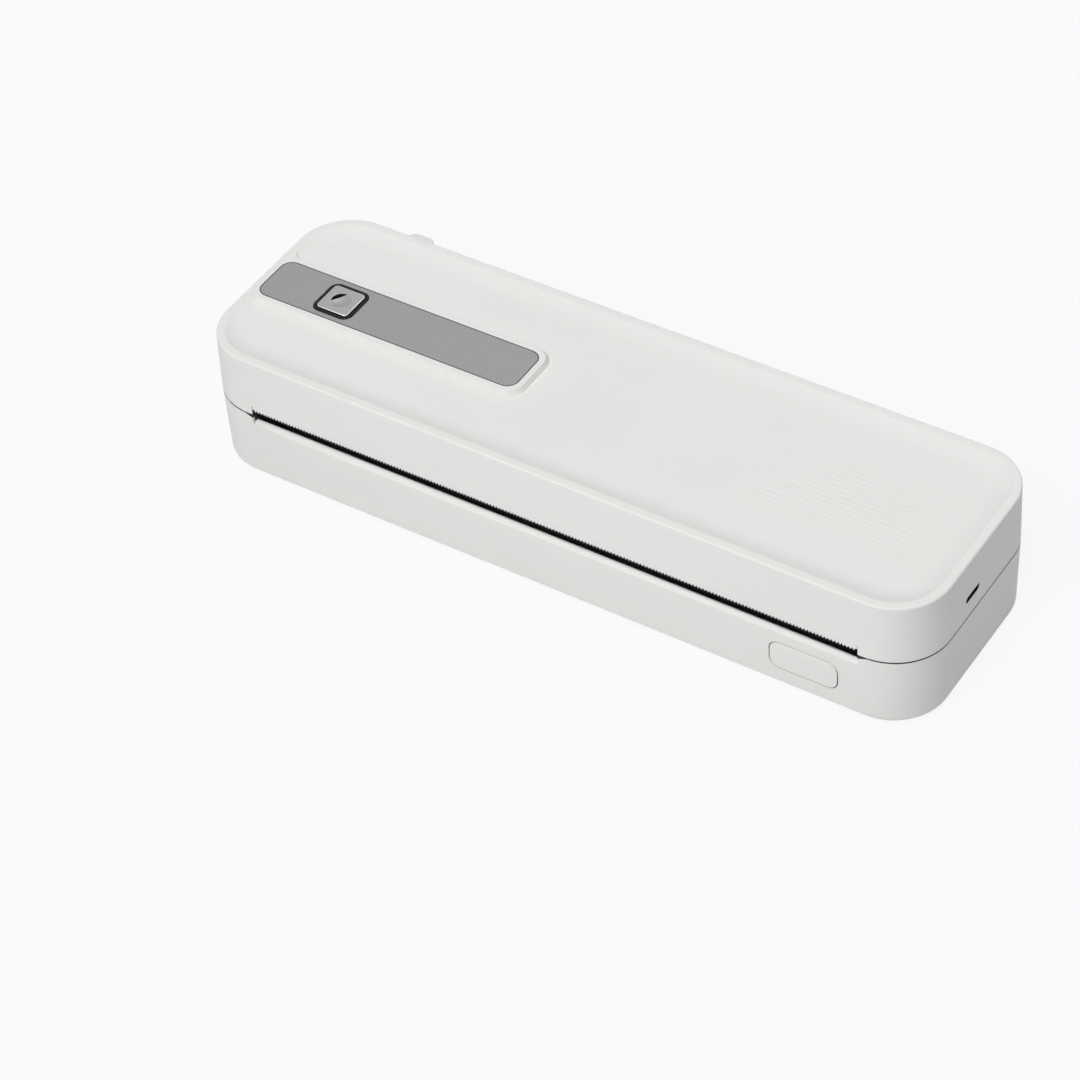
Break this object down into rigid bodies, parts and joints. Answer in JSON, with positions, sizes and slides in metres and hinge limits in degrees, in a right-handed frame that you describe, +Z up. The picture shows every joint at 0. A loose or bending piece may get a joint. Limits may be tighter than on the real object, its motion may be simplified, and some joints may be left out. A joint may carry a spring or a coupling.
{
  "type": "portable thermal printer",
  "caption": "Long low printer with rounded ends: a hinged cover with a dished top, silver plate and power key, a toothed paper slot along the front, and a sliding rear guide.",
  "frame": {"origin": "on the floor, midway along the body and between its front face and the rear guide's tip", "axes": "+X along the paper slot towards the USB end, +Y to the rear, +Z up"},
  "size_m": [0.272, 0.103, 0.0511],
  "materials": {
    "shell_white": "fine matte",
    "inner_grey": "matte",
    "silver_plate": "fine satin with sparkle",
    "dark_ring": "satin",
    "key_silver": "satin",
    "steel": "brushed",
    "spring_steel": "drawn",
    "aluminium": "milled",
    "ceramic": "glazed, opaque",
    "rubber_black": "matte",
    "gear_nylon": "moulded",
    "board_green": "solder mask",
    "chip_black": "moulded",
    "cell_wrap": "film",
    "ribbon": "film",
    "motor_steel": "plated"
  },
  "bodies": {
    "base": {"base_shell": "shell_white", "paper_bay": "inner_grey", "bay_screws": "steel", "roller_cheeks": "steel", "platen_bearings": "gear_nylon", "hinge_pins": "steel", "rubber_feet": "rubber_black", "latch_spring": "spring_steel"},
    "platen": {"platen_roller": "rubber_black", "platen_shaft": "steel", "platen_gear": "gear_nylon"},
    "latch": {"latch_bar": "inner_grey"},
    "release": {"release_button": "shell_white"},
    "guide": {"paper_guide": "shell_white"},
    "print_head": {"head_heatsink": "aluminium", "head_ceramic": "ceramic"},
    "power_key": {"power_button": "key_silver"},
    "idler": {"idler_gear": "gear_nylon"},
    "pinion": {"motor_pinion": "gear_nylon"},
    "cover": {"top_cover": "shell_white", "control_plate": "silver_plate", "button_bezel": "dark_ring", "tear_bar": "shell_white", "cover_liner": "inner_grey", "liner_screws": "steel", "head_bracket": "steel", "head_pivots": "steel", "head_springs": "spring_steel", "bracket_screws": "steel", "head_ribbon": "ribbon", "main_board": "board_green", "board_parts": "chip_black", "board_screws": "steel", "tact_switch": "chip_black", "battery_cells": "cell_wrap", "usb_board": "board_green", "usb_screws": "steel", "usb_socket": "steel", "power_ribbon": "ribbon", "drive_motor": "motor_steel", "motor_plate": "steel", "idler_stud": "steel", "paper_sensor": "chip_black"}
  },
  "joints": [
    {"name": "cover_hinge", "type": "hinge", "parent": "base", "child": "cover", "pos_m": [0, 0.0265, 0.044], "axis": [-1, 0, 0], "range_deg": [0, 70]},
    {"name": "power_press", "type": "slide", "parent": "cover", "child": "power_key", "axis": [0, 0, -1], "range_m": [0, 0.0006], "stiffness_N_per_m": 400},
    {"name": "head_rock", "type": "hinge", "parent": "cover", "child": "print_head", "pos_m": [0, -0.0335, 0.0306], "axis": [-1, 0, 0], "range_deg": [0, 2], "stiffness_Nm_per_rad": 2, "deforming": ["head_springs", "head_ribbon"]},
    {"name": "idler_spin", "type": "hinge", "parent": "cover", "child": "idler", "pos_m": [-0.123, -0.03166, 0.0346], "axis": [1, 0, 0], "continuous": true},
    {"name": "pinion_spin", "type": "hinge", "parent": "cover", "child": "pinion", "pos_m": [-0.123, -0.02151, 0.03829], "axis": [1, 0, 0], "continuous": true},
    {"name": "platen_spin", "type": "hinge", "parent": "base", "child": "platen", "pos_m": [0, -0.038, 0.021], "axis": [1, 0, 0], "continuous": true},
    {"name": "release_press", "type": "slide", "parent": "base", "child": "release", "axis": [0, 1, 0], "range_m": [0, 0.0012], "stiffness_N_per_m": 500},
    {"name": "latch_turn", "type": "hinge", "parent": "base", "child": "latch", "pos_m": [0, -0.0405, 0.009], "axis": [-1, 0, 0], "range_deg": [0, 11.5], "deforming": ["latch_spring"]},
    {"name": "guide_slide", "type": "slide", "parent": "base", "child": "guide", "axis": [1, 0, 0], "range_m": [0, 0.106]}
  ],
  "couplings": [
    {"joint": "idler_spin", "follows": "platen_spin", "ratio": -1.2727},
    {"joint": "pinion_spin", "follows": "platen_spin", "ratio": 2},
    {"joint": "latch_turn", "follows": "release_press", "rad_per_m": 166.67}
  ]
}
